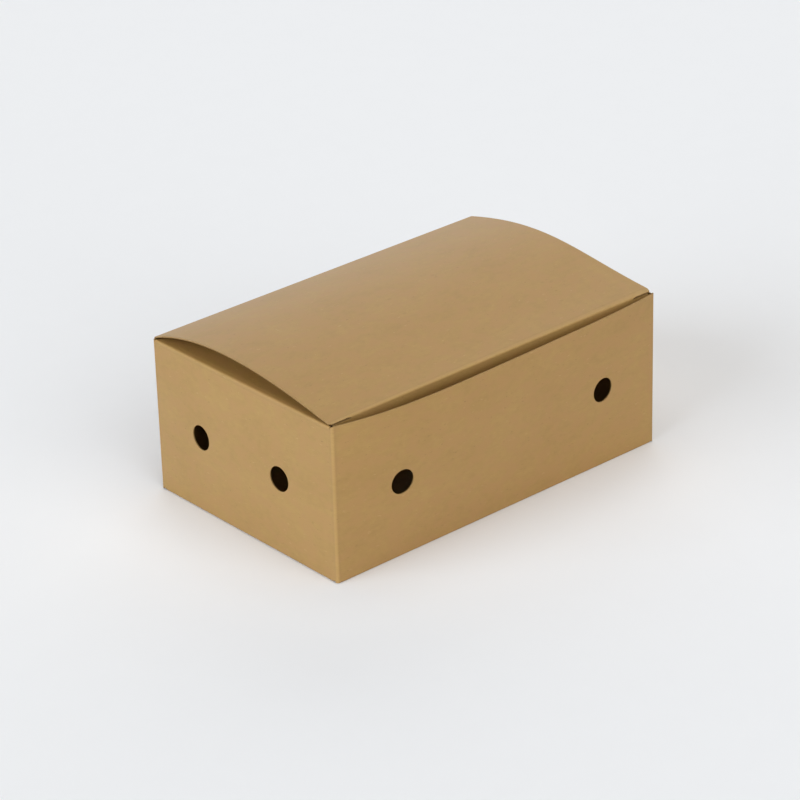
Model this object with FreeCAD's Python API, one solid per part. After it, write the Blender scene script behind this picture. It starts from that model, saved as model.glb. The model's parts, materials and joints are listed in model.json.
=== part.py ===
# Take-away carton for a portion of fries: one die-cut blank of thin kraft board, glued
# into a four-wall sleeve with a crash-lock base, two dust flaps and a hinged tuck lid.
# Origin: centre of the base, on the plane it stands on. +X runs along the length,
# the front wall faces -Y, the lid is creased to the back wall, and +Z is up.
import FreeCAD
import Part
import math
import os
from FreeCAD import Vector

# ---- board and overall size, mm ----
LENGTH = 178.0
WIDTH = 114.0
HEIGHT = 70.0            # from the floor to the lid's crease
BOARD = 0.5              # thickness of the sheet

# ---- walls ----
CORNER_FOLD = 1.5        # outer radius of the four upright folds
CORNER_RELIEF = 1.0      # the upright folds stop this far above the floor
FRONT_BOW = (12.6, 0.9, 6.8)  # pull of the front wall's free top edge outwards, left to right
FRONT_BELLY = (11.6, 7.8, 0.0)  # the same for the wall's middle height
SHORT_BULGE = 2.4        # spring of a short wall at its middle
VENT_DIAMETER = 11.0
VENT_FROM_CORNER = 32.0  # along each wall, from its upright folds
VENT_HEIGHT = 36.0
GLUE_FLAP_WIDTH = 15.0
GLUE_FLAP_TAPER = 4.0    # how much shorter its free edge is at the top and the base
SEAM_SETBACK = 0.5       # raw edge of the back wall, inside the outer corner

# ---- crash-lock base ----
BASE_FOLD = 1.2          # outer radius of the folds from wall to base
FLAP_SIDE_GAP = 0.8      # flaps start this far in from the wall's own folds
LONG_FLAP_OVERLAP = 14.0   # reach of its upper half past the middle
SHORT_SIDE_OVERLAP = 2.0   # reach of its lower half past the middle
LAP_RAMP_START = 7.0       # the upper half starts to climb this far before the middle
LAP_RAMP_RUN = 3.5
LAP_GAP = 0.15             # between laps that aren't glued
HOOK_SLIT = 1.5            # cut that lets the two long flaps hook through each other
GLUE_TAB_WIDTH = 16.0      # across the diagonal crease
FLAP_CORNER = 4.0
FREE_CORNER = 6.0          # corners that slide over other flaps
LONG_FLAP_END_ANGLE = 15.0
END_FLAP_DEPTH = 42.0
END_FLAP_CLEAR = 1.5       # from the diagonal crease
END_FLAP_FREE_SIDE = 18.0  # free side's corner, from the middle of its wall

# ---- dust flaps ----
SIDE_DROP = 0.8          # creases of the short walls lie this far under the lid's crease
DUST_FOLD = 1.5          # outer radius
DUST_FOLD_GAP = 0.3      # the fold stops this far from the upright folds
DUST_DEPTH = 45.0
DUST_LIFT = 3.0          # spring-up of the flaps, degrees
DUST_SHOULDER = 13.0     # straight part that meets the lid's slit lock
DUST_FRONT_INSET = 3.2   # room for the tuck flap
DUST_BACK_INSET = 2.6
DUST_FRONT_TAPER = 30.0
DUST_BACK_TAPER = 13.0
DUST_CORNER = 8.0

# ---- lid ----
LID_END_GAP = 0.5        # the lid is this much shorter than the carton at each end
LID_FRONT_SETBACK = 1.7  # outside of its front fold, behind the front wall's outer face
LID_FOLD = 1.3           # outer radius of the front fold
LID_CORNER = 2.5
HINGE_GAP = 0.1          # between the back wall's top and the lid
TUCK_DEPTH = 21.0
TUCK_LEAN = 5.0          # degrees inwards
TUCK_END_GAP = 2.0       # from the carton's end planes
TUCK_CORNER = 15.0
SLIT_LENGTH = 11.0       # slit lock at each end of the front fold
# Arch of the lid at its left and right ends: rise angle at the crease, fall angle at
# the front fold, how far each end pulls the curve straight, height of the front fold.
ARCH_LEFT = {"rise": 23.3, "fall": 9.8, "rise_pull": 45.0, "fall_pull": 14.0, "front": -0.6}
ARCH_RIGHT = {"rise": 15.0, "fall": 4.2, "rise_pull": 51.0, "fall_pull": 44.2, "front": -0.3}

HALF_L = LENGTH / 2
HALF_W = WIDTH / 2
LONG_END = HALF_L - CORNER_FOLD    # flat part of a long wall, from its middle
SIDE_TOP = HEIGHT - SIDE_DROP
HINGE_TOP = HEIGHT - BOARD - HINGE_GAP
CUT_REACH = 15.0         # outlines cut this far to both sides of a sprung wall
UP = Vector(0, 0, 1)
ALONG = Vector(1, 0, 0)
INWARDS = Vector(0, 1, 0)  # of a wall in its drawing place


# ---- outlines and folds ----

def rounded_face(corners):
    """Flat face in the XY plane whose corners are (x, y, radius)."""
    count = len(corners)
    bends = []
    for i, (x, y, radius) in enumerate(corners):
        here = Vector(x, y, 0)
        to_last = (Vector(*corners[i - 1][:2], 0) - here).normalize()
        to_next = (Vector(*corners[(i + 1) % count][:2], 0) - here).normalize()
        half = to_last.getAngle(to_next) / 2
        setback = radius / math.tan(half)
        middle = here + (to_last + to_next).normalize() * (radius / math.sin(half) - radius)
        bends.append((here + to_last * setback, middle, here + to_next * setback, radius))
    edges = []
    for i, (start, middle, end, radius) in enumerate(bends):
        edges.append(Part.makeLine(bends[i - 1][2], start))
        if radius:
            edges.append(Part.Arc(start, middle, end).toShape())
    return Part.Face(Part.Wire(edges))


def quad(a, b, c, d):
    return Part.Face(Part.makePolygon([a, b, c, d, a]))


def plate(corners, z_low):
    """Sheet of board lying flat, with its underside at z_low."""
    face = rounded_face(corners)
    face.translate(UP * z_low)
    return face.extrude(UP * BOARD)


def upright_fold(x, y, start_angle, top):
    """Quarter turn of the sheet round the vertical line at x, y."""
    out = Vector(math.cos(math.radians(start_angle)), math.sin(math.radians(start_angle)), 0)
    low = Vector(x, y, CORNER_RELIEF)
    high = Vector(x, y, top)
    inner, outer = out * (CORNER_FOLD - BOARD), out * CORNER_FOLD
    strip = quad(low + inner, low + outer, high + outer, high + inner)
    return strip.revolve(low, UP, 90)


def wall_fold(x_low, x_high, radius, z, turn_axis, angle):
    """Fold along a wall's top or bottom edge, from the wall's own edge at height z."""
    strip = quad(Vector(x_low, 0, z), Vector(x_high, 0, z),
                 Vector(x_high, BOARD, z), Vector(x_low, BOARD, z))
    return strip.revolve(Vector(0, radius, z), turn_axis, angle)


# ---- walls: each is drawn with its outer face on y = 0, facing -Y, X along it ----

def bowed_surface(x_low, x_high, z_low, z_high, rows):
    """Face whose poles stand out by rows[i][j], from the bottom row up."""
    surface = Part.BezierSurface()
    across = len(rows[0]) - 1
    up = len(rows) - 1
    surface.increase(across, up)
    for i, row in enumerate(rows):
        for j, out in enumerate(row):
            x = x_low + (x_high - x_low) * j / across
            z = z_low + (z_high - z_low) * i / up
            surface.setPole(j + 1, i + 1, Vector(x, -out, z))
    return surface.toShape()


def vented(wall, offsets):
    """Punch the round vents at these places along a wall."""
    for x in offsets:
        start = Vector(x, -CUT_REACH, VENT_HEIGHT)
        wall = wall.cut(Part.makeCylinder(VENT_DIAMETER / 2, 2 * CUT_REACH, start, INWARDS))
    return wall


def spring(bulge):
    """Pole rows of a wall held along all four edges, standing out by bulge at its middle."""
    return [[0, 0, 0], [0, 4 * bulge, 0], [0, 0, 0]]


def stood(shape, quarter_turns, distance):
    """Move a wall from its drawing place to its side of the carton."""
    shape.translate(Vector(0, -distance, 0))
    shape.rotate(Vector(0, 0, 0), UP, 90 * quarter_turns)
    return shape


def long_base_flap():
    """Front or back base flap, x along its wall and y inwards from the outer face."""
    fold_end = LONG_END - FLAP_SIDE_GAP
    low_reach = HALF_W + SHORT_SIDE_OVERLAP
    high_reach = HALF_W + LONG_FLAP_OVERLAP
    ramp = HALF_W - LAP_RAMP_START
    tab = GLUE_TAB_WIDTH * math.sqrt(2)
    slant = (low_reach - BASE_FOLD) * math.tan(math.radians(LONG_FLAP_END_ANGLE))
    outline = rounded_face([
        (-fold_end, BASE_FOLD, 0),
        (fold_end, BASE_FOLD, 0),
        (fold_end - slant, low_reach, FREE_CORNER),
        (HOOK_SLIT / 2, low_reach, FLAP_CORNER),
        (HOOK_SLIT / 2, ramp, 0),
        (-HOOK_SLIT / 2, ramp, 0),
        (-HOOK_SLIT / 2, high_reach, FLAP_CORNER),
        (high_reach - HALF_L, high_reach, FLAP_CORNER),
        (ramp - HALF_L, ramp, 0),
        (ramp - HALF_L - tab, ramp, FLAP_CORNER),
        (-fold_end, HALF_L - fold_end + tab, FLAP_CORNER),
    ])
    climb = BOARD + LAP_GAP
    path = [(0, 0), (ramp, 0), (ramp + LAP_RAMP_RUN, climb), (WIDTH, climb)]
    under = [Vector(-HALF_L, y, z) for y, z in path]
    over = [Vector(-HALF_L, y, z + BOARD) for y, z in reversed(path)]
    climbing = Part.Face(Part.makePolygon(under + over + under[:1])).extrude(ALONG * HALF_L)
    level = Part.makeBox(HALF_L, WIDTH, BOARD)
    reach = outline.extrude(UP * CUT_REACH)
    return reach.common(climbing).fuse(reach.common(level))


def end_base_flap():
    """Base flap of a short wall: its right side lies on the long flap's glue tab."""
    fold_end = HALF_W - BOARD - CORNER_FOLD - FLAP_SIDE_GAP
    clear = END_FLAP_CLEAR * math.sqrt(2)
    return plate([
        (-fold_end, BASE_FOLD, 0),
        (HALF_W - BASE_FOLD - clear, BASE_FOLD, 0),
        (HALF_W - END_FLAP_DEPTH - clear, END_FLAP_DEPTH, FLAP_CORNER),
        (-END_FLAP_FREE_SIDE, END_FLAP_DEPTH, FREE_CORNER),
    ], BOARD)


def dust_flap(x_low, x_high, front):
    """Top flap of a short wall; front is +1 where the carton's front is on the +X side."""
    front_x = front * (HALF_W - DUST_FRONT_INSET)
    back_x = -front * (HALF_W - DUST_BACK_INSET)
    front_slant = (DUST_DEPTH - DUST_SHOULDER) * math.tan(math.radians(DUST_FRONT_TAPER))
    back_slant = DUST_DEPTH * math.tan(math.radians(DUST_BACK_TAPER))
    flap = plate([
        (back_x, DUST_FOLD, 0),
        (front_x, DUST_FOLD, 0),
        (front_x, DUST_SHOULDER, DUST_CORNER),
        (front_x - front * front_slant, DUST_DEPTH, DUST_CORNER),
        (back_x + front * back_slant, DUST_DEPTH, DUST_CORNER),
    ], SIDE_TOP - BOARD)
    axis = Vector(0, DUST_FOLD, SIDE_TOP - DUST_FOLD)
    flap.rotate(axis, ALONG, DUST_LIFT)
    fold = wall_fold(x_low + DUST_FOLD_GAP, x_high - DUST_FOLD_GAP, DUST_FOLD,
                     SIDE_TOP - DUST_FOLD, -ALONG, 90 - DUST_LIFT)
    return fold.fuse(flap)


def long_wall(outer_face):
    """Front or back wall with its vents and its base flap."""
    fold_end = LONG_END - FLAP_SIDE_GAP
    panel = outer_face.extrude(INWARDS * BOARD)
    vent = HALF_L - VENT_FROM_CORNER
    fold = wall_fold(-fold_end, fold_end, BASE_FOLD, BASE_FOLD, ALONG, 90)
    return vented(panel, (-vent, vent)).fuse([fold, long_base_flap()])


def front_wall():
    rows = [[0, 0, 0, 0, 0], [0, *FRONT_BELLY, 0], [0, *FRONT_BOW, 0]]
    return long_wall(bowed_surface(-LONG_END, LONG_END, BASE_FOLD, HEIGHT, rows))


def back_wall():
    """Flat: the lid's crease and the glue flap keep it stiff."""
    return long_wall(quad(Vector(-LONG_END, 0, BASE_FOLD), Vector(LONG_END, 0, BASE_FOLD),
                          Vector(LONG_END, 0, HINGE_TOP), Vector(-LONG_END, 0, HINGE_TOP)))


def short_wall(x_high, front):
    """Left or right wall with its vents, its base flap and its dust flap."""
    x_low = CORNER_FOLD - HALF_W
    fold_end = HALF_W - BOARD - CORNER_FOLD - FLAP_SIDE_GAP
    low = BOARD + BASE_FOLD
    rows = spring(SHORT_BULGE)
    panel = bowed_surface(x_low, x_high, low, SIDE_TOP - DUST_FOLD, rows).extrude(INWARDS * BOARD)
    vent = HALF_W - VENT_FROM_CORNER
    fold = wall_fold(-fold_end, fold_end, BASE_FOLD, low, ALONG, 90)
    flaps = [end_base_flap(), dust_flap(x_low, x_high, front)]
    return vented(panel, (-vent, vent)).fuse([fold] + flaps)


def glue_seam():
    """Raw end of the back wall, and the glue flap behind it, in the back wall's place."""
    overhang = Part.makeBox(CORNER_FOLD - SEAM_SETBACK, BOARD, HINGE_TOP - BASE_FOLD,
                            Vector(SEAM_SETBACK - HALF_L, 0, BASE_FOLD))
    free = GLUE_FLAP_WIDTH - LONG_END
    flap = quad(Vector(-LONG_END, BOARD, BASE_FOLD),
                Vector(free, BOARD, BASE_FOLD + GLUE_FLAP_TAPER),
                Vector(free, BOARD, HINGE_TOP - GLUE_FLAP_TAPER),
                Vector(-LONG_END, BOARD, HINGE_TOP))
    return [overhang, flap.extrude(INWARDS * BOARD)]


def carton_body():
    seam_x = HALF_W - BOARD - CORNER_FOLD
    pieces = [
        stood(front_wall(), 0, HALF_W),
        stood(short_wall(seam_x, -1), 1, HALF_L),
        stood(back_wall(), 2, HALF_W),
        stood(short_wall(HALF_W - CORNER_FOLD, 1), 3, HALF_L),
        upright_fold(LONG_END, CORNER_FOLD - HALF_W, -90, HEIGHT),
        upright_fold(LONG_END, seam_x, 0, HINGE_TOP),
        upright_fold(-LONG_END, HALF_W - CORNER_FOLD, 90, HINGE_TOP),
        upright_fold(-LONG_END, CORNER_FOLD - HALF_W, 180, HEIGHT),
    ]
    pieces += [stood(piece, 2, HALF_W) for piece in glue_seam()]
    return pieces[0].fuse(pieces[1:]).removeSplitter()


# ---- lid: every point of its section runs straight from the left end to the right ----

def lid_section(arch):
    """Points of the lid's section in the YZ plane at one end."""
    rise = math.radians(arch["rise"])
    fall = math.radians(arch["fall"])
    lean = math.radians(TUCK_LEAN)
    centre = Vector(0, LID_FRONT_SETBACK + LID_FOLD - HALF_W, HEIGHT + arch["front"])
    outwards = [Vector(0, -math.sin(a), math.cos(a))
                for a in (fall, (fall + math.pi / 2 + lean) / 2, math.pi / 2 + lean)]
    outer = [centre + n * LID_FOLD for n in outwards]
    inner = [centre + n * (LID_FOLD - BOARD) for n in outwards]
    crease = Vector(0, HALF_W, HEIGHT)
    down = UP * -BOARD
    rise_pole = crease + Vector(0, -math.cos(rise), math.sin(rise)) * arch["rise_pull"]
    back_along = Vector(0, math.cos(fall), math.sin(fall)) * arch["fall_pull"]
    forward = Vector(0, -math.cos(fall), -math.sin(fall))
    reach = (outer[0].y - (LID_FRONT_SETBACK - HALF_W)) / math.cos(fall)
    hang = Vector(0, math.sin(lean), -math.cos(lean)) * (TUCK_DEPTH - LID_FOLD)
    return {
        "top": [crease, rise_pole, outer[0] + back_along, outer[0]],
        "under": [crease + down, rise_pole + down, inner[0] + back_along, inner[0]],
        "outer": outer,
        "inner": inner,
        "lip": [outer[0] + forward * reach, inner[0] + forward * reach],
        "tuck": [outer[2] + hang, inner[2] + hang],
    }


def between(x):
    """The section at x, with every point on its straight line from end to end."""
    left, right = lid_section(ARCH_LEFT), lid_section(ARCH_RIGHT)
    share = (x + HALF_L) / LENGTH
    return {name: [a + (b - a) * share + ALONG * x for a, b in zip(points, right[name])]
            for name, points in left.items()}


def bezier(poles):
    curve = Part.BezierCurve()
    curve.setPoles(poles)
    return curve.toShape()


def run(x_low, x_high, section_edges):
    """Solid ruled between the same closed section at two places along the lid."""
    wires = [Part.Wire(section_edges(between(x))) for x in (x_low, x_high)]
    return Part.makeLoft(wires, True, True)


def panel_edges(s):
    return [bezier(s["top"]), Part.makeLine(s["outer"][0], s["inner"][0]),
            bezier(s["under"][::-1]), Part.makeLine(s["under"][0], s["top"][0])]


def front_fold_edges(s):
    return [Part.Arc(*s["outer"]).toShape(), Part.makeLine(s["outer"][2], s["inner"][2]),
            Part.Arc(*s["inner"][::-1]).toShape(), Part.makeLine(s["inner"][0], s["outer"][0])]


def lip_edges(s):
    corners = [s["outer"][0], s["lip"][0], s["lip"][1], s["inner"][0]]
    return Part.makePolygon(corners + corners[:1]).Edges


def tuck_edges(s):
    corners = [s["outer"][2], s["tuck"][0], s["tuck"][1], s["inner"][2]]
    return Part.makePolygon(corners + corners[:1]).Edges


def tuck_flap():
    """Flap behind the front wall, with its lower corners rounded."""
    end = HALF_L - TUCK_END_GAP
    flap = run(-end, end, tuck_edges)
    low = LID_FOLD - TUCK_DEPTH
    outline = rounded_face([
        (-end, TUCK_DEPTH, 0), (-end, low, TUCK_CORNER),
        (end, low, TUCK_CORNER), (end, TUCK_DEPTH, 0)])
    outline.rotate(Vector(0, 0, 0), ALONG, 90)
    outline.translate(Vector(0, 0, HEIGHT))
    return flap.common(outline.extrude(Vector(0, -WIDTH, 0)))


def lid():
    end = HALF_L - LID_END_GAP
    slit = end - SLIT_LENGTH
    front = LID_FRONT_SETBACK - HALF_W
    sheet = run(-end, end, panel_edges)
    lips = [run(-end, -slit, lip_edges), run(slit, end, lip_edges)]
    room = rounded_face([
        (-end, front, LID_CORNER), (end, front, LID_CORNER),
        (end, 0, 0), (-end, 0, 0)])
    room = room.extrude(UP * 2 * HEIGHT)
    lips = [lip.common(room) for lip in lips]
    fold = run(-slit, slit, front_fold_edges)
    return sheet.fuse(lips + [fold, tuck_flap()]).removeSplitter()


def main():
    os.makedirs("parts", exist_ok=True)
    for node, make in (("carton_body", carton_body), ("lid", lid)):
        shape = make()
        if len(shape.Solids) != 1 or not shape.isValid():
            raise RuntimeError(node + " isn't one sound solid")
        shape.Solids[0].exportStep("parts/" + node + ".step")


main()
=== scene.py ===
import json
import math

import bpy
import numpy as np
from mathutils import Matrix, Vector
from mathutils.geometry import delaunay_2d_cdt


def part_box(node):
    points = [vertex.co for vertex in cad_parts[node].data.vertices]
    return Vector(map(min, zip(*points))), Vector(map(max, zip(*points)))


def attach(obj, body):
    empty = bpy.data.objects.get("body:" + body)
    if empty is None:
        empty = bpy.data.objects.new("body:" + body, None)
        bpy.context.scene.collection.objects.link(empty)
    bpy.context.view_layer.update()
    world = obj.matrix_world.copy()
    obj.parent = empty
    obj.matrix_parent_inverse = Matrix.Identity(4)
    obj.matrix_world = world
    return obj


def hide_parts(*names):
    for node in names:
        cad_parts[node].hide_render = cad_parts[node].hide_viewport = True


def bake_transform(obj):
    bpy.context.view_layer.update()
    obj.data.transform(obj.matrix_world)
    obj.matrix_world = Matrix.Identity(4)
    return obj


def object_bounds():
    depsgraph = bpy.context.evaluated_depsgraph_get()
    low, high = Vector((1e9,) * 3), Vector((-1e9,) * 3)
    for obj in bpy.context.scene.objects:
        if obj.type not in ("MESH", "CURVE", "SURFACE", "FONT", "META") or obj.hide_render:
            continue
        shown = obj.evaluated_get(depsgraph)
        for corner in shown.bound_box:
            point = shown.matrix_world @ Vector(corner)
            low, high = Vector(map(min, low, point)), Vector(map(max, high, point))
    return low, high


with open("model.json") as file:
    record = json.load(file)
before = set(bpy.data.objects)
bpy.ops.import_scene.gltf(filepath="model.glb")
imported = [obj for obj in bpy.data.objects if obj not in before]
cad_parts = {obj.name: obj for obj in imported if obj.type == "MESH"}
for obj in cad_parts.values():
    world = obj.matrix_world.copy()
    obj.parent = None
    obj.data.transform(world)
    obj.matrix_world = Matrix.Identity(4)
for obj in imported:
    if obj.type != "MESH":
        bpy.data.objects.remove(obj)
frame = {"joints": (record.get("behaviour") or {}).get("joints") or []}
CAD_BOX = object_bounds()

# Folding carton for a portion of fries: the blank is cut flat, as a board maker's die
# would cut it, and then folded up. Lengths are in millimetres until the meshes are made.
MM = 0.001
BOARD = 0.5
LID_END_GAP = 0.5
HINGE = [c / MM for c in frame["joints"][0]["pos_m"]]
HALF_W = round(HINGE[1], 2)
HEIGHT = round(HINGE[2], 2)
HALF_L = round(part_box("lid")[1].x / MM + LID_END_GAP, 2)

# ---- walls ----
CORNER_FOLD = 1.5
CORNER_RELIEF = 0.3
FRONT_POLES = [[0, 0, 0, 0, 0], [0, 11.6, 7.8, 0, 0], [0, 12.6, 0.9, 6.8, 0]]
SHORT_POLES = [[0, 0, 0], [0, 9.6, 0], [0, 0, 0]]
VENT_RADIUS = 5.5
VENT_FROM_CORNER = 32.0
VENT_HEIGHT = 36.0
GLUE_FLAP_WIDTH = 15.0
GLUE_FLAP_TAPER = 4.0
SEAM_SETBACK = 0.5
LONG_END = HALF_L - CORNER_FOLD
SHORT_END = HALF_W - CORNER_FOLD
BACK_TOP = HEIGHT - 1.1          # the crease strip takes over here
REAR_FOLD_TOP = (HEIGHT - 0.7, HEIGHT - 0.7)       # beside a long wall, beside a short one
FRONT_FOLD_TOP = (HEIGHT - 0.05, HEIGHT - 0.5)

# ---- crash-lock base ----
END_FOOT = 0.15                  # the end walls' folds stand this far off the table
END_CLIMB = (0.9, 1.4)           # their flaps climb onto the long flaps from here, over this run
BASE_FOLD = 0.7
FLAP_SIDE_GAP = 0.8
LONG_REACH_HIGH = HALF_W + 14.0
LONG_REACH_LOW = HALF_W + 2.0
LAP_RAMP = HALF_W - 7.0
LAP_RAMP_RUN = 3.5
LAP_CLIMB = BOARD + 0.15
HOOK_SLIT = 1.5                  # lets the two long flaps hook through each other
GLUE_TAB = 16.0 * math.sqrt(2)
LONG_FLAP_SLANT = math.radians(15.0)
END_FLAP_DEPTH = 42.0
END_FLAP_CLEAR = 1.5 * math.sqrt(2)
END_FLAP_FREE_SIDE = 18.0
FLAP_CORNER = 4.0
FREE_CORNER = 6.0

# ---- dust flaps ----
SIDE_TOP = HEIGHT - 0.45
DUST_FOLD = 0.9
DUST_FOLD_GAP = 0.3
DUST_DEPTH = 45.0
DUST_LIFT = math.radians(3.0)
DUST_SHOULDER = 13.0
DUST_FRONT_INSET = 3.2
DUST_BACK_INSET = 2.6
DUST_FRONT_TAPER = math.radians(30.0)
DUST_BACK_TAPER = math.radians(13.0)
DUST_CORNER = 8.0

# ---- lid ----
LID_FRONT_SETBACK = 1.7
LID_FOLD = 0.7
LID_CHAMFER = (1.0, 1.8)         # along the front edge and along the end
LID_CORNER = 0.8
LID_PANEL = 111.6                # along the panel, from the crease to the front fold
TUCK_HANG = 19.7
TUCK_LEAN = math.radians(5.0)
TUCK_END = HALF_L - 2.0
TUCK_CORNER = 15.0
SLIT_START = HALF_L - LID_END_GAP - 11.0
SLIT_WIDTH = 0.3
LIP = 0.6                        # the panel runs on this far past the fold beside a slit
ARCHES = (
    {"rise": 23.3, "fall": 9.8, "rise_pull": 45.0, "fall_pull": 14.0, "front": -0.2},
    {"rise": 15.0, "fall": 4.2, "rise_pull": 51.0, "fall_pull": 44.2, "front": 0.0},
)
LID_SETTLE = 0.01                # the lid lies this far under the crease's height
STRIP_DEPTH = 1.0                # how far the crease strip reaches onto the lid
STRIP_LEFT = 87.3                # its left end, from the carton's middle

# ---- arcs along the board's middle, where it neither stretches nor shrinks ----
UPRIGHT_ARC = (CORNER_FOLD - BOARD / 2) * math.pi / 2
BASE_ARC = (BASE_FOLD - BOARD / 2) * math.pi / 2
DUST_ARC = (DUST_FOLD - BOARD / 2) * (math.pi / 2 - DUST_LIFT)
LID_ARC = (LID_FOLD - BOARD / 2) * math.pi / 2
SHORT_TOP = SIDE_TOP - DUST_FOLD
SEAM_END = SHORT_END - BOARD     # the right wall is shorter by the back wall's board

# ---- meshing ----
GRID = 2.6                       # spacing of the points inside the sheet
EDGE_STEP = 2.0                  # longest stretch along an outline or a fold line
ARC_STEP = 0.6                   # the same round a corner
CLEAR_OF_EDGE = GRID * 0.45      # grid points nearer to a line than this are dropped
FOLD_STEPS = 8
OVER = 0.2                       # fold lines run this far past the outline
NUDGE = 0.02                     # for finding which way the board faces
INSIDE_GRAIN = 400.0             # the inner face shows another part of the grain

# ---- wear, painted highlight and painted shade: widths of the bands along the folds ----
UPRIGHT_RUB_AND_HIGHLIGHT = 0.9
# width of the painted shade along the walls' feet
FOOT_PAINTED_SHADE = 0.45
DUST_RUB_AND_HIGHLIGHT = 0.7
CREASE_RUB_AND_HIGHLIGHT = 0.9
LID_RUB_AND_HIGHLIGHT = 0.8
TUCK_PAINTED_LIGHT = (2.0, 2.5)            # painted light on the tuck flap's face: full up to here, and fading over this
WALL_WEAR_AND_LIGHT = 0.7                   # the walls' rubbed folds with their painted highlight, and the painted shade at their feet, are scaled by this


# ---- flat outlines ----

def rounded(corners):
    """Points round a flat outline whose corners are (u, v, radius)."""
    points = []
    for i, (u, v, radius) in enumerate(corners):
        here = Vector((u, v))
        if not radius:
            points.append(here)
            continue
        to_last = (Vector(corners[i - 1][:2]) - here).normalized()
        to_next = (Vector(corners[(i + 1) % len(corners)][:2]) - here).normalized()
        half = to_last.angle(to_next) / 2
        centre = here + (to_last + to_next).normalized() * radius / math.sin(half)
        start = here + to_last * radius / math.tan(half) - centre
        turn = math.pi - 2 * half
        if start.x * to_last.y - start.y * to_last.x > 0:
            turn = -turn
        steps = max(3, math.ceil(abs(turn) * radius / ARC_STEP))
        for k in range(steps + 1):
            points.append(centre + Matrix.Rotation(turn * k / steps, 2) @ start)
    return [tuple(p) for p in points]


def divided(points, closed=True):
    """The same run of points with none further apart than a step."""
    ends = points[1:] + points[:1] if closed else points[1:]
    out = []
    for (u0, v0), (u1, v1) in zip(points, ends):
        count = max(1, math.ceil(math.hypot(u1 - u0, v1 - v0) / EDGE_STEP))
        out += [(u0 + (u1 - u0) * k / count, v0 + (v1 - v0) * k / count) for k in range(count)]
    return out if closed else out + [points[-1]]


def inside(points, outline):
    """Which of the points lie inside a closed outline."""
    found = np.zeros(len(points), bool)
    x, y = points[:, 0], points[:, 1]
    for (x0, y0), (x1, y1) in zip(outline, outline[1:] + outline[:1]):
        if y0 != y1:
            crosses = (y0 > y) != (y1 > y)
            found ^= crosses & (x < (x1 - x0) * (y - y0) / (y1 - y0) + x0)
    return found


def cut(outline, holes, lines):
    """Triangles of a flat sheet: points and faces, with edges along every line."""
    runs = [divided(outline)] + [divided(h) for h in holes]
    points, edges = [], []
    for run in runs:
        first = len(points)
        points += run
        edges += [(first + k, first + (k + 1) % len(run)) for k in range(len(run))]
    for line in lines:
        first = len(points)
        run = divided(line, closed=False)
        points += run
        edges += [(first + k, first + k + 1) for k in range(len(run) - 1)]
    edge_points = np.array(points)
    low, high = edge_points.min(0), edge_points.max(0)
    rows = []
    for j, v in enumerate(np.arange(low[1], high[1], GRID * math.sqrt(3) / 2)):
        u = np.arange(low[0] + GRID / 2 * (j % 2), high[0], GRID)
        rows.append(np.stack([u, np.full_like(u, v)], 1))
    grid = np.concatenate(rows)
    grid = grid[inside(grid, runs[0])]
    near = np.concatenate([
        np.abs(part[:, None] - edge_points[None]).max(2).min(1)
        for part in np.array_split(grid, 40)])
    grid = grid[near > CLEAR_OF_EDGE]
    points += [tuple(p) for p in grid]
    flat, _, faces, _, _, _ = delaunay_2d_cdt(
        [Vector(p) for p in points], edges, [], 0, 1e-5, False)
    flat = np.array([tuple(p) for p in flat])
    faces = np.array([tuple(f) for f in faces])
    middle = flat[faces].mean(1)
    keep = inside(middle, runs[0])
    for hole in runs[1:]:
        keep &= ~inside(middle, hole)
    faces = faces[keep]
    a, b, c = flat[faces[:, 0]], flat[faces[:, 1]], flat[faces[:, 2]]
    area = (b - a)[:, 0] * (c - a)[:, 1] - (b - a)[:, 1] * (c - a)[:, 0]
    faces[area < 0] = faces[area < 0][:, ::-1]
    faces = faces[np.abs(area) > 1e-7]
    used, faces = np.unique(faces, return_inverse=True)
    return flat[used], faces.reshape(-1, 3)


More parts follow.
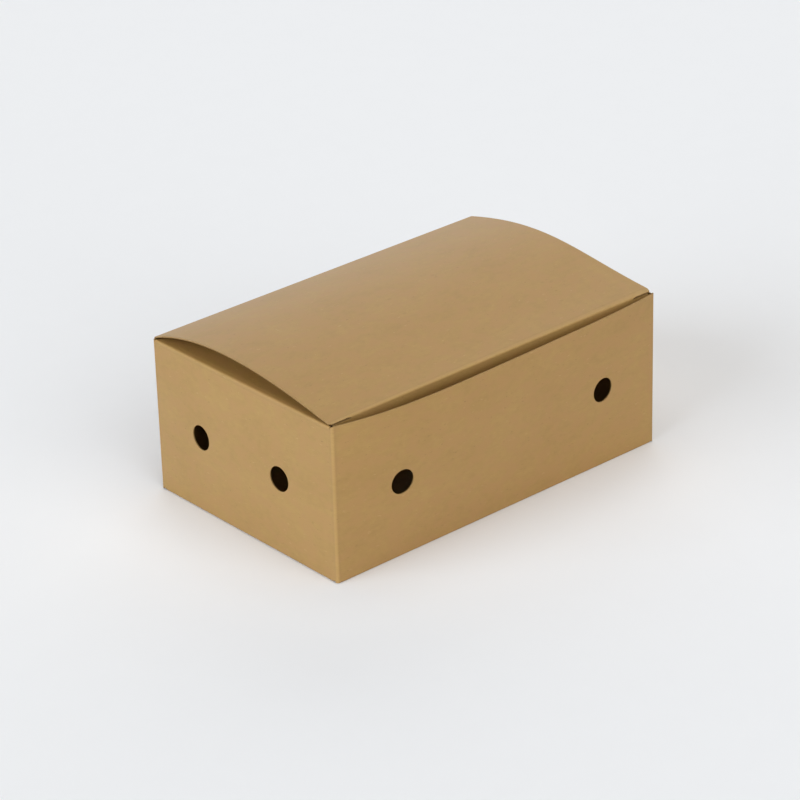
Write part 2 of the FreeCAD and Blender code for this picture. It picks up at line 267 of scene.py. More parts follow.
def fold_up(name, outline, holes, lines, place, wear_and_painted_light, materials):
    """One piece of board: cut flat, put in place, and given its thickness."""
    flat, faces = cut(outline, holes, lines)
    u, v = flat.T
    outer = place(u, v)
    along_u = place(u + NUDGE, v) - place(u - NUDGE, v)
    along_v = place(u, v + NUDGE) - place(u, v - NUDGE)
    normal = np.cross(along_u, along_v)
    normal /= np.linalg.norm(normal, axis=1)[:, None]
    inner = outer - normal * BOARD
    sides = np.concatenate([faces[:, [0, 1]], faces[:, [1, 2]], faces[:, [2, 0]]])
    mates = {tuple(s) for s in sides.tolist()}
    rim = np.array([s for s in sides.tolist() if (s[1], s[0]) not in mates])
    border = np.unique(rim)
    count, around = len(flat), len(border)
    order = {p: 2 * count + k for k, p in enumerate(border.tolist())}
    verts = np.concatenate([outer, inner, outer[border], inner[border]]) * MM
    polys = faces.tolist() + (faces[:, ::-1] + count).tolist()
    for a, b in rim.tolist():
        polys.append([order[a], order[a] + around, order[b] + around, order[b]])
    mesh = bpy.data.meshes.new(name)
    mesh.from_pydata(verts.tolist(), [], polys)
    mesh.validate()
    blank = np.zeros((len(verts), 3), np.float32)
    wear_and_light_at = np.zeros(len(verts), np.float32)
    first = 0
    for source, side in ((slice(None), 0), (slice(None), INSIDE_GRAIN),
                         (border, 0), (border, BOARD)):
        last = first + len(flat[source])
        blank[first:last, :2] = flat[source]
        blank[first:last, 2] = side
        wear_and_light_at[first:last] = wear_and_painted_light(u[source], v[source])
        first = last
    mesh.attributes.new("blank", "FLOAT_VECTOR", "POINT").data.foreach_set("vector", blank.ravel())
    mesh.attributes.new("wear_and_painted_light", "FLOAT", "POINT").data.foreach_set("value", wear_and_light_at)
    for material in materials:
        mesh.materials.append(material)
    slots = np.zeros(len(mesh.polygons), np.int32)
    slots[2 * len(faces):] = 1
    mesh.polygons.foreach_set("material_index", slots)
    mesh.polygons.foreach_set("use_smooth", np.ones(len(mesh.polygons), bool))
    mesh.update()
    piece = bpy.data.objects.new(name, mesh)
    bpy.context.scene.collection.objects.link(piece)
    return piece


# ---- the carton's blank: u runs round the four walls, v is the height ----

def curve_weights(degree, t):
    """Shares of a Bezier curve's poles at t."""
    return [math.comb(degree, k) * t**k * (1 - t)**(degree - k) for k in range(degree + 1)]


def eased(value, start, run):
    """0 before the start, 1 after the run, and a smooth rise between."""
    share = np.clip((value - start) / run, 0, 1)
    return share * share * (3 - 2 * share)


class Wall:
    """A wall drawn with its outer face on y = 0, facing -Y, x along it, and stood in place.

    turns is in quarters of a turn, poles push its face outwards, climbs is for the long walls,
    whose base flaps have a ramp, and dust is 1 or -1 where it has a dust flap: 1 where the
    front of the carton is on its +X side.
    """

    def __init__(self, turns, stand_off, ends, low, top, poles=None, climbs=False, dust=None):
        self.turn = turns * math.pi / 2
        self.stand_off = stand_off
        self.ends = ends
        self.low = low
        self.top = top
        self.poles = poles
        self.climbs = climbs
        self.dust = dust
        self.start = 0.0         # u of its first end

    def end(self):
        """u of its other end."""
        return self.start + self.ends[1] - self.ends[0]

    def stood(self, x, y, z):
        y = y - self.stand_off
        c, s = math.cos(self.turn), math.sin(self.turn)
        return np.stack([x * c - y * s, x * s + y * c, z], 1)

    def place(self, u, v):
        x = u - self.start + self.ends[0]
        y, z = np.zeros_like(x), v.copy()
        if self.poles:
            s = np.clip((x - self.ends[0]) / (self.ends[1] - self.ends[0]), 0, 1)
            t = np.clip((v - self.low) / (self.top - self.low), 0, 1)
            across = curve_weights(len(self.poles[0]) - 1, s)
            up = curve_weights(len(self.poles) - 1, t)
            for row, share in zip(self.poles, up):
                for out, part in zip(row, across):
                    y = y - out * share * part
        apart = FLAP_SIDE_GAP / 2        # the board turns under only along the flap
        flap = (x > self.ends[0] + apart) & (x < self.ends[1] - apart) | (self is GLUE)
        down = np.where(flap, np.maximum(self.low - v, 0), 0)
        turn = np.clip(down / (BASE_FOLD - BOARD / 2), 0, math.pi / 2)
        past = np.maximum(down - BASE_ARC, 0)
        y = y + BASE_FOLD * (1 - np.cos(turn)) + past
        z = z + down - BASE_FOLD * np.sin(turn)
        if self.climbs:
            z = z + np.where(x < 0, LAP_CLIMB * eased(y, LAP_RAMP, LAP_RAMP_RUN), 0)
        else:
            z = z + np.where(v < self.low, (BOARD - END_FOOT) * eased(y, *END_CLIMB), 0)
        if self.dust:
            up = np.maximum(v - self.top, 0)
            turn = np.clip(up / (DUST_FOLD - BOARD / 2), 0, math.pi / 2 - DUST_LIFT)
            past = np.maximum(up - DUST_ARC, 0)
            y = y + DUST_FOLD * (1 - np.cos(turn)) + past * math.cos(DUST_LIFT)
            z = z - up + DUST_FOLD * np.sin(turn) + past * math.sin(DUST_LIFT)
        return self.stood(x, y, z)

    def place_fold(self, u, v):
        """Upright fold that follows this wall."""
        turn = (u - self.end()) / (CORNER_FOLD - BOARD / 2)
        return self.stood(self.ends[1] + CORNER_FOLD * np.sin(turn),
                          CORNER_FOLD * (1 - np.cos(turn)), v)


BACK = Wall(2, HALF_W, (SEAM_SETBACK - HALF_L, LONG_END), BASE_FOLD, BACK_TOP, climbs=True)
LEFT = Wall(3, HALF_L, (-SHORT_END, SHORT_END), END_FOOT + BASE_FOLD, SHORT_TOP,
            SHORT_POLES, dust=1)
FRONT = Wall(0, HALF_W, (-LONG_END, LONG_END), BASE_FOLD, HEIGHT, FRONT_POLES, climbs=True)
RIGHT = Wall(1, HALF_L, (-SHORT_END, SEAM_END), END_FOOT + BASE_FOLD, SHORT_TOP,
             SHORT_POLES, dust=-1)
GLUE = Wall(2, HALF_W - BOARD, (-LONG_END, GLUE_FLAP_WIDTH - LONG_END), BASE_FOLD, BACK_TOP)
WALLS = (BACK, LEFT, FRONT, RIGHT, GLUE)
for last, wall in zip(WALLS, WALLS[1:]):
    wall.start = last.end() + UPRIGHT_ARC


def place_carton(u, v):
    where = np.zeros((len(u), 3))
    for i, wall in enumerate(WALLS):
        on_wall = u >= wall.start if i else np.full(len(u), True)
        where[on_wall] = wall.place(u[on_wall], v[on_wall])
        if wall is not GLUE:
            past = u > wall.end()
            where[past] = wall.place_fold(u[past], v[past])
    return where


def long_foot():
    """Outline of a long wall's base flap, in rising x: (x, depth from the wall, radius)."""
    fold_end = LONG_END - FLAP_SIDE_GAP
    slant = (LONG_REACH_LOW - BASE_FOLD) * math.tan(LONG_FLAP_SLANT)
    return [
        (-fold_end, BASE_FOLD, 0),
        (-fold_end, HALF_L - fold_end + GLUE_TAB, FLAP_CORNER),
        (LAP_RAMP - HALF_L - GLUE_TAB, LAP_RAMP, FLAP_CORNER),
        (LAP_RAMP - HALF_L, LAP_RAMP, 0),
        (LONG_REACH_HIGH - HALF_L, LONG_REACH_HIGH, FLAP_CORNER),
        (-HOOK_SLIT / 2, LONG_REACH_HIGH, FLAP_CORNER),
        (-HOOK_SLIT / 2, LAP_RAMP, 0),
        (HOOK_SLIT / 2, LAP_RAMP, 0),
        (HOOK_SLIT / 2, LONG_REACH_LOW, FLAP_CORNER),
        (fold_end - slant, LONG_REACH_LOW, FREE_CORNER),
        (fold_end, BASE_FOLD, 0),
    ]


def end_foot():
    """The same for a short wall."""
    fold_end = SEAM_END - FLAP_SIDE_GAP
    return [
        (-fold_end, BASE_FOLD, 0),
        (-END_FLAP_FREE_SIDE, END_FLAP_DEPTH, FREE_CORNER),
        (HALF_W - END_FLAP_DEPTH - END_FLAP_CLEAR, END_FLAP_DEPTH, FLAP_CORNER),
        (HALF_W - BASE_FOLD - END_FLAP_CLEAR, BASE_FOLD, 0),
        (fold_end, BASE_FOLD, 0),
    ]


def dust_head(front):
    """Outline of a dust flap, in rising x; front is +1 where the front is on the +X side."""
    front_x = HALF_W - DUST_FRONT_INSET
    back_x = DUST_BACK_INSET - HALF_W
    front_slant = (DUST_DEPTH - DUST_SHOULDER) * math.tan(DUST_FRONT_TAPER)
    back_slant = DUST_DEPTH * math.tan(DUST_BACK_TAPER)
    corners = [
        (back_x, DUST_FOLD, 0),
        (back_x + back_slant, DUST_DEPTH, DUST_CORNER),
        (front_x - front_slant, DUST_DEPTH, DUST_CORNER),
        (front_x, DUST_SHOULDER, DUST_CORNER),
        (front_x, DUST_FOLD, 0),
    ]
    return corners if front > 0 else [(-x, y, r) for x, y, r in reversed(corners)]


def foot_of(wall):
    """The blank's lower edge along a wall, in rising u."""
    to_u = wall.start - wall.ends[0]
    if wall is GLUE:
        return [(wall.start, BASE_FOLD, 0), (wall.end(), BASE_FOLD + GLUE_FLAP_TAPER, 0)]
    flap = long_foot() if wall.climbs else end_foot()
    edge = [(wall.start, wall.low, 0), (flap[0][0] + to_u, wall.low, 0)]
    for x, depth, radius in flap:
        edge.append((x + to_u, wall.low - BASE_ARC - (depth - BASE_FOLD), radius))
    return edge + [(flap[-1][0] + to_u, wall.low, 0), (wall.end(), wall.low, 0)]


def head_of(wall):
    """The blank's upper edge along a wall, in rising u."""
    to_u = wall.start - wall.ends[0]
    if wall is GLUE:
        return [(wall.start, BACK_TOP, 0), (wall.end(), BACK_TOP - GLUE_FLAP_TAPER, 0)]
    if not wall.dust:
        return [(wall.start, wall.top, 0), (wall.end(), wall.top, 0)]
    root = wall.top + DUST_ARC
    first, final = wall.start + DUST_FOLD_GAP, wall.end() - DUST_FOLD_GAP
    edge = [(wall.start, wall.top, 0), (first, wall.top, 0), (first, root, 0)]
    for x, depth, radius in dust_head(wall.dust):
        edge.append((x + to_u, root + depth - DUST_FOLD, radius))
    return edge + [(final, root, 0), (final, wall.top, 0), (wall.end(), wall.top, 0)]


def fold_head(wall):
    """Top of the upright fold that follows a wall."""
    high, low = (FRONT_FOLD_TOP if wall in (LEFT, FRONT) else REAR_FOLD_TOP)
    ends = (low, high) if wall.dust else (high, low)
    return [(wall.end(), ends[0], 0), (wall.end() + UPRIGHT_ARC, ends[1], 0)]


def carton_outline():
    lower, upper = [], []
    for wall in WALLS:
        lower += foot_of(wall)
        upper += head_of(wall)
        if wall is not GLUE:
            lower += [(wall.end(), CORNER_RELIEF, 0), (wall.end() + UPRIGHT_ARC, CORNER_RELIEF, 0)]
            upper += fold_head(wall)
    corners = lower + upper[::-1]
    kept = [c for i, c in enumerate(corners)
            if math.hypot(c[0] - corners[i - 1][0], c[1] - corners[i - 1][1]) > 1e-6]
    return rounded(kept)


def vent_places():
    for wall in (BACK, LEFT, FRONT, RIGHT):
        half = HALF_L if wall.climbs else HALF_W
        for x in (VENT_FROM_CORNER - half, half - VENT_FROM_CORNER):
            yield x + wall.start - wall.ends[0], VENT_HEIGHT


def carton_lines():
    """Lines of the blank along which the board turns."""
    lines = []
    for wall in WALLS[:-1]:
        for k in range(FOLD_STEPS + 1):
            u = wall.end() + UPRIGHT_ARC * k / FOLD_STEPS
            lines.append([(u, CORNER_RELIEF - OVER), (u, HEIGHT + OVER)])
        flap = long_foot() if wall.climbs else end_foot()
        to_u = wall.start - wall.ends[0]
        span = (flap[0][0] + to_u - OVER, flap[-1][0] + to_u + OVER)
        for k in range(FOLD_STEPS + 1):
            v = wall.low - BASE_ARC * k / FOLD_STEPS
            lines.append([(span[0], v), (span[1], v)])
        ramp, run = (LAP_RAMP, LAP_RAMP_RUN) if wall.climbs else END_CLIMB
        hook = (LAP_RAMP - HALF_L + to_u, to_u - HOOK_SLIT / 2 + OVER)
        climb = hook if wall.climbs else span
        for k in range(FOLD_STEPS + 1):
            v = wall.low - BASE_ARC - (ramp + run * k / FOLD_STEPS - BASE_FOLD)
            lines.append([(climb[0], v), (climb[1], v)])
        if wall.dust:
            for k in range(FOLD_STEPS + 1):
                v = wall.top + DUST_ARC * k / FOLD_STEPS
                lines.append([(wall.start + DUST_FOLD_GAP - OVER, v),
                              (wall.end() - DUST_FOLD_GAP + OVER, v)])
    return lines


def bell(distance, width):
    """1 on a line and fading to both sides of it."""
    return np.exp(-(distance / width) ** 2)


def carton_wear_and_painted_light(u, v):
    """How much a fold has rubbed the board, with a painted highlight; under 0, how much painted
    shade darkens the foot.
    """
    wear_and_painted_light = np.zeros_like(u)
    for wall in WALLS[:-1]:
        # the upright folds: wear and painted highlight
        wear_and_painted_light = np.maximum(wear_and_painted_light, bell(u - wall.end() - UPRIGHT_ARC / 2, UPRIGHT_RUB_AND_HIGHLIGHT))
        on_wall = (u > wall.start) & (u < wall.end())
        # the walls' feet get painted shade instead, where they meet the table
        foot = bell(v - wall.low + BASE_ARC / 2, FOOT_PAINTED_SHADE)
        wear_and_painted_light = np.where(on_wall & (v < wall.low + 1), -foot, wear_and_painted_light)
        if wall.dust:
            # the dust flaps' folds: wear and painted highlight
            head = bell(v - wall.top - DUST_ARC / 2, DUST_RUB_AND_HIGHLIGHT)
            wear_and_painted_light = np.where(on_wall, np.maximum(wear_and_painted_light, head), wear_and_painted_light)
    return wear_and_painted_light * WALL_WEAR_AND_LIGHT


def ring(u, v, radius, count=40):
    turns = [2 * math.pi * k / count for k in range(count)]
    return [(u + radius * math.cos(a), v + radius * math.sin(a)) for a in turns]


# ---- the lid: the blank goes on over the back wall's crease ----

def blank_x(u):
    """World x of a place on the lid: u runs as on the back wall."""
    return -(u - BACK.start + BACK.ends[0])


def lid_u(x):
    """The way back from world x to u."""
    return -x + BACK.start - BACK.ends[0]


def arch_poles(arch):
    """Four poles, as (y, z), of one end of the lid, from the crease to the front fold."""
    rise, fall = math.radians(arch["rise"]), math.radians(arch["fall"])
    front = np.array([LID_FRONT_SETBACK + LID_FOLD - HALF_W, HEIGHT + arch["front"]])
    front = front + LID_FOLD * np.array([-math.sin(fall), math.cos(fall)])
    crease = np.array([HALF_W, HEIGHT - LID_SETTLE])
    return [crease,
            crease + arch["rise_pull"] * np.array([-math.cos(rise), math.sin(rise)]),
            front + arch["fall_pull"] * np.array([math.cos(fall), math.sin(fall)]),
            front]


def arch_at(poles, t):
    return sum(w[:, None] * p for w, p in zip(curve_weights(3, t), poles))


ARCH_POLES = [arch_poles(arch) for arch in ARCHES]
TABLE_T = np.linspace(0, 1, 400)
TABLE_RUN = HALF_W - sum(arch_at(p, TABLE_T)[:, 0] for p in ARCH_POLES) / 2
TABLE_RUN *= LID_PANEL / TABLE_RUN[-1]


def place_lid(u, v):
    """The panel is ruled between its two end arches; the fold and the tuck flap follow."""
    x = blank_x(u)
    share = (x + HALF_L) / (2 * HALF_L)
    run = v - HEIGHT
    t = np.interp(np.clip(run, 0, LID_PANEL), TABLE_RUN, TABLE_T)
    section = [arch_at(p, t) for p in ARCH_POLES]
    yz = section[0] * (1 - share)[:, None] + section[1] * share[:, None]
    fall = np.radians(ARCHES[0]["fall"] * (1 - share) + ARCHES[1]["fall"] * share)
    past = np.maximum(run - LID_PANEL, 0)
    on_lip = (np.abs(x) > SLIT_START + 0.05) & (past < LIP + SLIT_WIDTH / 2)
    lip = yz + np.stack([-np.cos(fall), -np.sin(fall)], 1) * past[:, None]
    angle = fall + (math.pi / 2 + TUCK_LEAN - fall) * np.clip(past / LID_ARC, 0, 1)
    turned = np.stack([-np.sin(angle) + np.sin(fall), np.cos(angle) - np.cos(fall)], 1)
    hang = np.maximum(past - LID_ARC, 0)
    down = np.stack([hang * math.sin(TUCK_LEAN), -hang * math.cos(TUCK_LEAN)], 1)
    yz = np.where(on_lip[:, None], lip, yz + LID_FOLD * turned + down)
    return np.column_stack([x, yz])


def lid_outline():
    edge = HEIGHT + LID_PANEL
    tuck = edge + LID_ARC
    end = HALF_L - LID_END_GAP
    right = [
        (end, HEIGHT + STRIP_DEPTH, 0),
        (end, edge + LIP - LID_CHAMFER[1], LID_CORNER),
        (end - LID_CHAMFER[0], edge + LIP, LID_CORNER),
        (SLIT_START, edge + LIP, 0),
        (SLIT_START, edge + LIP + SLIT_WIDTH, 0),
        (TUCK_END, edge + LIP + SLIT_WIDTH, LID_CORNER),
        (TUCK_END, tuck + TUCK_HANG, TUCK_CORNER),
    ]
    corners = right + [(-x, v, r) for x, v, r in reversed(right)]
    return rounded([(lid_u(x), v, r) for x, v, r in corners])


def lid_lines():
    edge = HEIGHT + LID_PANEL
    lines = []
    for k in range(FOLD_STEPS + 1):
        v = edge + LID_ARC * k / FOLD_STEPS
        past_slit = v > edge + LIP + SLIT_WIDTH
        reach = HALF_L if k == 0 else TUCK_END + 0.1 if past_slit else SLIT_START
        lines.append([(lid_u(reach), v), (lid_u(-reach), v)])
    return lines


def lid_wear_and_painted_light(u, v):
    past = v - HEIGHT - LID_PANEL
    flat, fade = TUCK_PAINTED_LIGHT
    # past the front fold, painted light on the tuck flap's face, which lies in shade behind the
    # front wall; before it, wear and painted highlight along the fold
    return np.where(past > 0, bell(np.maximum(past - flat, 0), fade), bell(past, LID_RUB_AND_HIGHLIGHT))


# ---- the crease between them ----

STRIP_LOW = BACK_TOP
STRIP_HIGH = HEIGHT + STRIP_DEPTH


def place_crease(u, v):
    """From the back wall's top, round the crease, to the lid's first millimetre."""
    t = (v - STRIP_LOW) / (STRIP_HIGH - STRIP_LOW)
    end = place_lid(u, np.full_like(u, STRIP_HIGH))
    foot = np.stack([end[:, 0], np.full_like(u, HALF_W), np.full_like(u, STRIP_LOW)], 1)
    corner = np.stack([end[:, 0], np.full_like(u, HALF_W), np.full_like(u, HEIGHT)], 1)
    weights = curve_weights(2, t)
    return sum(w[:, None] * p for w, p in zip(weights, (foot, corner, end)))


def crease_outline():
    right, left = lid_u(HALF_L - LID_END_GAP), lid_u(-STRIP_LEFT)
    return [(right, STRIP_LOW), (left, STRIP_LOW), (left, STRIP_HIGH), (right, STRIP_HIGH)]


def crease_lines():
    right, left = lid_u(HALF_L), lid_u(-HALF_L)
    levels = [STRIP_LOW + (STRIP_HIGH - STRIP_LOW) * k / FOLD_STEPS for k in range(1, FOLD_STEPS)]
    return [[(right, v), (left, v)] for v in levels]


def crease_wear_and_highlight(u, v):
    # a pale band along the crease: wear and painted highlight
    return bell(v - HEIGHT, CREASE_RUB_AND_HIGHLIGHT)


# ---- materials ----

class Socket:
    """A node's output that can be used in sums."""

    def __init__(self, tree, out):
        self.tree = tree
        self.out = out

    def maths(self, operation, *values):
        return self.tree.node("ShaderNodeMath", {"operation": operation}, dict(enumerate(values)))

    def most(self, other):
        return self.maths("MAXIMUM", self, other)

    def __add__(self, other):
        return self.maths("ADD", self, other)

    def __radd__(self, other):
        return self.maths("ADD", other, self)

    def __sub__(self, other):
        return self.maths("SUBTRACT", self, other)

    def __rsub__(self, other):
        return self.maths("SUBTRACT", other, self)

    def __mul__(self, other):
        return self.maths("MULTIPLY", self, other)

    def __rmul__(self, other):
        return self.maths("MULTIPLY", other, self)


class Finish:
    """A material, or the studio's air, being put together from nodes."""

    def __init__(self, kind, name):
        self.made = kind.new(name)
        self.made.use_nodes = True
        self.nodes = self.made.node_tree.nodes
        self.links = self.made.node_tree.links
        self.nodes.clear()

    def node(self, kind, settings, sockets, output=0):
        made = self.nodes.new(kind)
        for name, value in settings.items():
            setattr(made, name, value)
        for key, value in sockets.items():
            if isinstance(value, Socket):
                self.links.new(value.out, made.inputs[key])
            else:
                made.inputs[key].default_value = value
        return Socket(self, made.outputs[output]) if made.outputs else None

    def between(self, value, low, high):
        """0 where value is at low or under, 1 at high or over."""
        return self.node("ShaderNodeMapRange", {"interpolation_type": "SMOOTHSTEP"},
                         {"Value": value, "From Min": low, "From Max": high})

    def tint(self, share, first, second):
        """The first colour, with a share of it turned into the second."""
        return self.node("ShaderNodeMix", {"data_type": "RGBA"},
                         {0: share, 6: first, 7: second}, 2)

    def noise(self, place, stretch, detail=3.0, rough=0.5):
        """Noise over the blank; stretch is its grain's size along u and v in millimetres."""
        spot = self.node("ShaderNodeVectorMath", {"operation": "MULTIPLY"},
                         {0: place, 1: (1 / stretch[0], 1 / stretch[1], 1 / stretch[1])})
        return self.node("ShaderNodeTexNoise", {},
                         {"Vector": spot, "Scale": 1.0, "Detail": detail, "Roughness": rough})

    def strayed(self, place, size, reach):
        """The place, pushed about by noise, so that fibres don't all lie one way."""
        noise = self.node("ShaderNodeTexNoise", {}, {"Vector": place, "Scale": 1 / size}, 1)
        push = self.node("ShaderNodeVectorMath", {"operation": "MULTIPLY_ADD"},
                         {0: noise, 1: (reach, reach, 0), 2: (-reach / 2, -reach / 2, 0)})
        return self.node("ShaderNodeVectorMath", {"operation": "ADD"}, {0: place, 1: push})

    def specks(self, place, size, share, seed):
        """Short fibres: 1 in the middle of a share of the cells, 0 between them."""
        fine = (1 / size[0], 1 / size[1], 1 / size[1])
        spot = self.node("ShaderNodeVectorMath", {"operation": "MULTIPLY_ADD"},
                         {0: place, 1: fine, 2: (seed, seed, seed)})
        settings = {"feature": "F1"}
        cell = {"Vector": spot, "Scale": 1.0, "Randomness": 1.0}
        near = self.node("ShaderNodeTexVoronoi", settings, cell, 0)
        pick = self.node("ShaderNodeTexVoronoi", settings, cell, 1)
        chance = self.node("ShaderNodeSeparateColor", {}, {0: pick}, 0)
        girth = self.node("ShaderNodeSeparateColor", {}, {0: pick}, 1)
        shape = 1 - self.between(near - girth * 0.25, 0.02, 0.20)
        return shape * self.between(chance, 1 - share, 1 - share * 0.3)

    def surface(self, values, bump=None, strength=0.1, distance=0.0001):
        """Finish with a shader, and with a bump of this strength and depth in metres."""
        if bump is not None:
            relief = {"Strength": strength, "Distance": distance, "Height": bump}
            values = values | {"Normal": self.node("ShaderNodeBump", {}, relief)}
        shader = self.node("ShaderNodeBsdfPrincipled", {}, values)
        self.node("ShaderNodeOutputMaterial", {}, {"Surface": shader})
        return self.made


def paint(red, green, blue):
    """Linear colour from the values of a printed colour chart, 0 to 255."""
    steps = [c / 255 for c in (red, green, blue)]
    return tuple(c / 12.92 if c < 0.04045 else ((c + 0.055) / 1.055) ** 2.4 for c in steps) + (1.0,)


def kraft_board():
    """Unbleached kraft board: long fibres lie along the grain, round the four walls."""
    board = Finish(bpy.data.materials, "kraft_board")
    place = board.node("ShaderNodeAttribute", {"attribute_name": "blank"}, {}, 1)
    wear_and_painted_light = board.node("ShaderNodeAttribute", {"attribute_name": "wear_and_painted_light"}, {}, 2)
    cloud = board.noise(place, (26.0, 17.0), 2.0)
    flock = board.noise(place, (4.2, 2.6), 4.0, 0.6)
    fibre = board.noise(board.strayed(place, 6.0, 5.0), (2.8, 0.30), 3.0, 0.6)
    hair = board.noise(place, (0.9, 0.16), 2.0, 0.6)
    shade = (cloud - 0.5) * 0.9 + (flock - 0.5) * 1.3 + (fibre - 0.5) * 0.8 + (hair - 0.5) * 0.4
    colour = board.tint(board.between(shade, -0.75, 0.75), paint(163, 125, 64), paint(178, 141, 77))
    rosy = board.noise(place, (9.0, 6.0), 3.0)
    colour = board.tint(board.between(rosy, 0.42, 0.60) * 0.65, colour, paint(174, 132, 75))
    astray = board.strayed(place, 3.0, 2.4)
    pale = board.specks(astray, (2.4, 0.60), 0.10, 3.7)
    dark = board.specks(astray, (1.5, 0.50), 0.06, 11.3)
    knot = board.specks(place, (3.6, 2.2), 0.03, 23.9)
    colour = board.tint(pale * 0.32, colour, paint(198, 163, 108))
    colour = board.tint(dark * 0.38, colour, paint(112, 79, 38))
    colour = board.tint(knot * 0.14, colour, paint(120, 86, 42))
    # lighter along the folds: partly wear, partly painted highlight; on the tuck flap's face,
    # painted light
    rub_and_painted_light = wear_and_painted_light.most(0) * (0.5 + board.between(fibre, 0.30, 0.62) * 0.5)
    colour = board.tint(rub_and_painted_light * 0.38, colour, paint(200, 164, 102))
    # darker flanks beside each fold: painted shade of the score groove; the bump below gives the
    # groove itself
    score_groove_and_shade = board.between(wear_and_painted_light, 0.08, 0.24) * (1 - board.between(wear_and_painted_light, 0.28, 0.60))
    colour = board.tint(score_groove_and_shade * 0.15, colour, paint(132, 98, 50))
    # painted shade: darkens each wall's foot where it meets the table
    painted_foot_shade = board.between(0 - wear_and_painted_light, 0.10, 0.60)
    colour = board.tint(painted_foot_shade * 0.75, colour, paint(78, 55, 34))
    rough = 0.54 + (flock - 0.5) * 0.14 + wear_and_painted_light * 0.10
    return board.surface(
        {"Base Color": colour, "Roughness": rough, "Specular IOR Level": 0.60},
        fibre * 0.6 + hair * 0.3 + flock * 0.5 + pale * 0.3 - score_groove_and_shade * 0.5, 0.35, 0.00006)


def cut_edge():
    """Raw edge of the board: the plies show as fine lines along it."""
    edge = Finish(bpy.data.materials, "kraft_cut_edge")
    place = edge.node("ShaderNodeAttribute", {"attribute_name": "blank"}, {}, 1)
    plies = edge.noise(place, (3.0, 0.12), 2.0)
    nick = edge.noise(place, (0.8, 0.8), 3.0)
    colour = edge.tint(edge.between(plies, 0.3, 0.7), paint(140, 107, 62), paint(170, 137, 90))
    colour = edge.tint(edge.between(nick, 0.55, 0.70) * 0.5, colour, paint(112, 82, 46))
    return edge.surface({"Base Color": colour, "Roughness": 0.9, "Specular IOR Level": 0.2},
                        nick, 0.5, 0.00008)


def sweep():
    """Pale seamless sweep that the carton stands on."""
    paper = Finish(bpy.data.materials, "pale_sweep")
    place = paper.node("ShaderNodeTexCoord", {}, {}, 3)
    grain = paper.node("ShaderNodeTexNoise", {}, {"Vector": place, "Scale": 60.0, "Detail": 2.0})
    tone = paper.tint(grain, (0.905, 0.904, 0.901, 1), (0.915, 0.914, 0.911, 1))
    return paper.surface({"Base Color": tone, "Roughness": 0.95, "Specular IOR Level": 0.1})


# ---- pieces ----

board_finish = [kraft_board(), cut_edge()]
vents = [ring(u, v, VENT_RADIUS) for u, v in vent_places()]

carton = fold_up("carton_sheet", carton_outline(), vents, carton_lines(),
                 place_carton, carton_wear_and_painted_light, board_finish)
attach(carton, "carton")
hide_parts("carton_body")

lid = fold_up("lid_sheet", lid_outline(), [], lid_lines(), place_lid, lid_wear_and_painted_light, board_finish)
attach(lid, "lid")
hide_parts("lid")

crease = fold_up("lid_crease", crease_outline(), [], crease_lines(),
                 place_crease, crease_wear_and_highlight, board_finish)
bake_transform(crease)


# ---- stage, light and camera ----

def stage_floor(half):
    """A flat sweep, half its width given in metres."""
    mesh = bpy.data.meshes.new("sweep")
    mesh.from_pydata([(-half, -half, 0), (half, -half, 0), (half, half, 0), (-half, half, 0)],
                     [], [(0, 1, 2, 3)])
    mesh.materials.append(sweep())
    floor = bpy.data.objects.new("sweep", mesh)
    floor.location.z = CAD_BOX[0].z
    bpy.context.scene.collection.objects.link(floor)


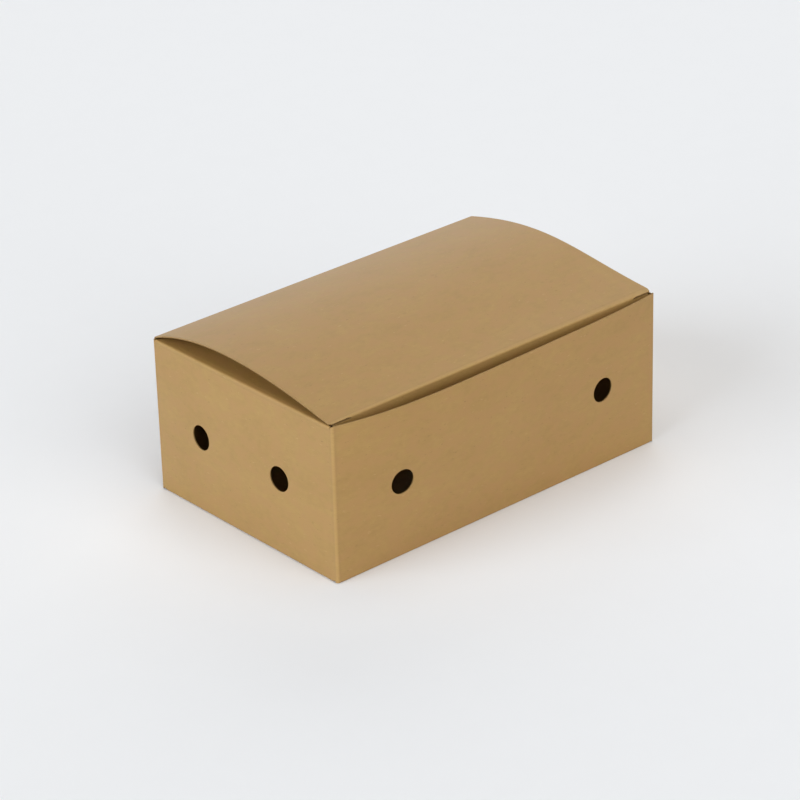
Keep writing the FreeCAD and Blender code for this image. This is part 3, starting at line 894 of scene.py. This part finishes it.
def soft_lamp(name, azimuth, elevation, spread, strength, colour=(1, 1, 1)):
    """A far, wide lamp. Azimuth 0 is in front of the carton and 90 at its right end."""
    light = bpy.data.lights.new(name, "SUN")
    light.energy = strength
    light.angle = math.radians(spread)
    light.color = colour
    lamp = bpy.data.objects.new(name, light)
    a, e = math.radians(azimuth), math.radians(elevation)
    towards = Vector((math.sin(a) * math.cos(e), -math.cos(a) * math.cos(e), math.sin(e)))
    lamp.rotation_mode = "QUATERNION"
    lamp.rotation_quaternion = towards.to_track_quat("Z", "Y")
    bpy.context.scene.collection.objects.link(lamp)


def room_light(strength, wall):
    """Faint light from all round; wall is how pale the studio looks past the sweep."""
    room = Finish(bpy.data.worlds, "studio")
    seen, through = [room.node("ShaderNodeLightPath", {}, {}, "Is %s Ray" % kind)
                     for kind in ("Camera", "Transmission")]
    pale = seen.most(through)
    light = room.node("ShaderNodeBackground", {},
                      {"Color": (1, 1, 1, 1), "Strength": strength + pale * (wall - strength)})
    room.node("ShaderNodeOutputWorld", {}, {"Surface": light})
    bpy.context.scene.world = room.made


def stand_camera(azimuth, elevation, roll, distance, aside, above, lens):
    """A far camera, in degrees and millimetres; aside and above move it across its view."""
    azimuth, elevation, roll = (math.radians(d) for d in (azimuth, elevation, roll))
    forward = Vector((-math.sin(azimuth) * math.cos(elevation),
                      math.cos(azimuth) * math.cos(elevation), -math.sin(elevation)))
    level = forward.cross(Vector((0, 0, 1))).normalized()
    upward = level.cross(forward)
    right = math.cos(roll) * level + math.sin(roll) * upward
    up = math.cos(roll) * upward - math.sin(roll) * level
    spot = Vector((0, 0, HEIGHT / 2)) - forward * distance + right * aside + up * above
    data = bpy.data.cameras.new("camera")
    data.sensor_width = 36.0
    data.lens = lens
    data.clip_start, data.clip_end = 0.1, 20.0
    camera = bpy.data.objects.new("camera", data)
    turn = Matrix((right, up, -forward)).transposed().to_4x4()
    camera.matrix_world = Matrix.Translation(spot * MM) @ turn
    bpy.context.scene.collection.objects.link(camera)
    bpy.context.scene.camera = camera


stage_floor(3.0)
room_light(0.08, 0.86)
soft_lamp("left_lamp", -98, 16, 55, 2.25, (0.915, 1.0, 1.11))
soft_lamp("front_lamp", -5, 30, 55, 1.42)
soft_lamp("top_lamp", 0, 88, 60, 1.08)
soft_lamp("back_lamp", 135, 16, 55, 0.98)
stand_camera(-40.734, 26.584, -1.646, 1396.4, -3.362, -4.095, 149.68)
bpy.context.scene.view_settings.view_transform = "Standard"
